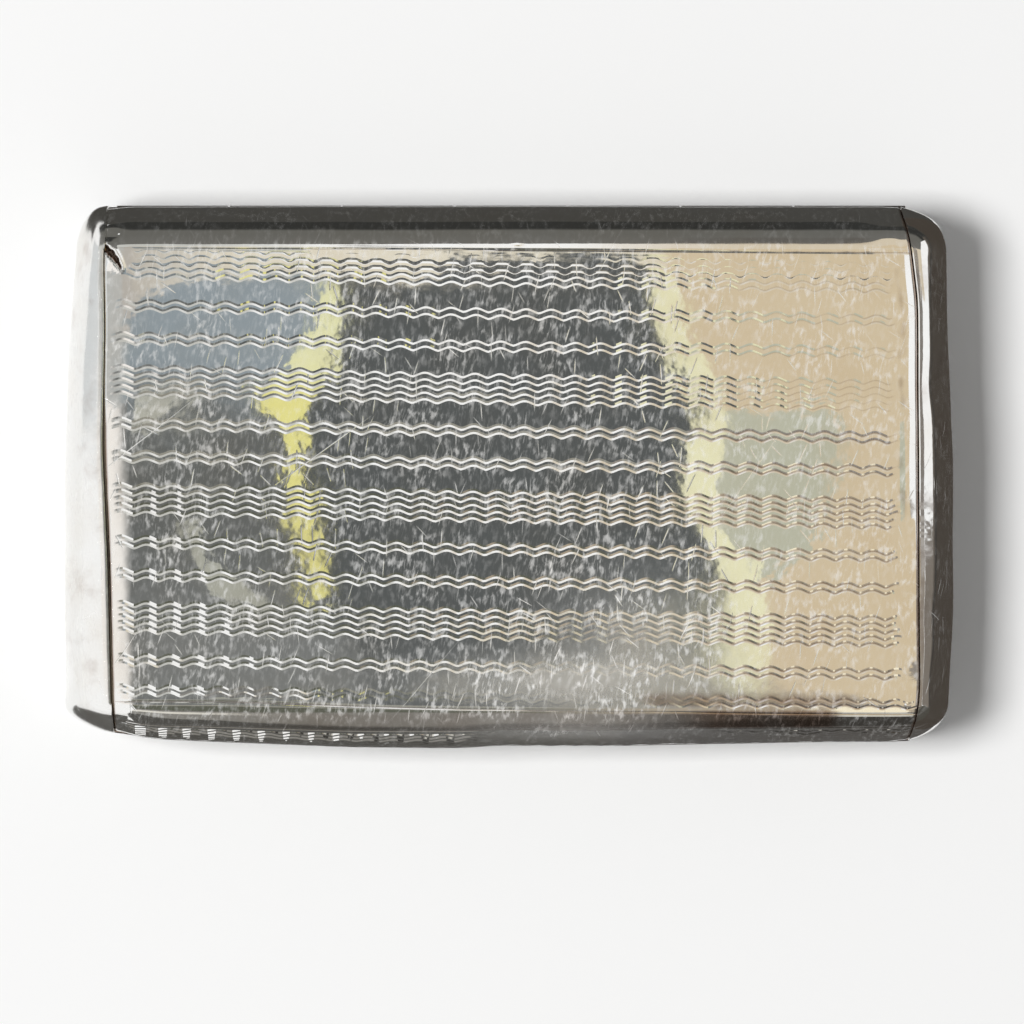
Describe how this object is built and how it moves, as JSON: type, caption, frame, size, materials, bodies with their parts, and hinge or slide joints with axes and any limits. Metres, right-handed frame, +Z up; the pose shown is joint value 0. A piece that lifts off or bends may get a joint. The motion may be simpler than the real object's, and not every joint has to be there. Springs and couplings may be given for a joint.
{
  "type": "snuff box",
  "caption": "Flat oblong pocket snuff box in silver, with rounded hollow ends and an engine-turned lid on a concealed back hinge.",
  "frame": {"origin": "middle of the flat underside", "axes": "+X along the box, +Y towards the hinge side, +Z up"},
  "size_m": [0.084, 0.0514, 0.017],
  "materials": {
    "engine_turned_silver": "polished",
    "plain_silver": "polished",
    "gilt": "satin",
    "hinge_silver": "satin"
  },
  "bodies": {
    "body": {"body_tray": "engine_turned_silver", "end_cap_left": "plain_silver", "end_cap_right": "plain_silver", "end_partition_left": "gilt", "end_partition_right": "gilt", "front_bezel": "gilt", "body_hinge_strap": "gilt", "body_knuckle_1": "hinge_silver", "body_knuckle_2": "hinge_silver", "body_knuckle_3": "hinge_silver", "body_knuckle_4": "hinge_silver", "hinge_pin": "hinge_silver", "pin_plug_left": "hinge_silver", "pin_plug_right": "hinge_silver"},
    "lid": {"lid_plate": "engine_turned_silver", "lid_hinge_strap": "gilt", "lid_end_wall_left": "gilt", "lid_end_wall_right": "gilt", "lid_knuckle_1": "hinge_silver", "lid_knuckle_2": "hinge_silver", "lid_knuckle_3": "hinge_silver"}
  },
  "joints": [
    {"name": "lid_hinge", "type": "hinge", "parent": "body", "child": "lid", "pos_m": [0, 0.02445, 0.0085], "axis": [-1, 0, 0], "range_deg": [0, 100]}
  ]
}
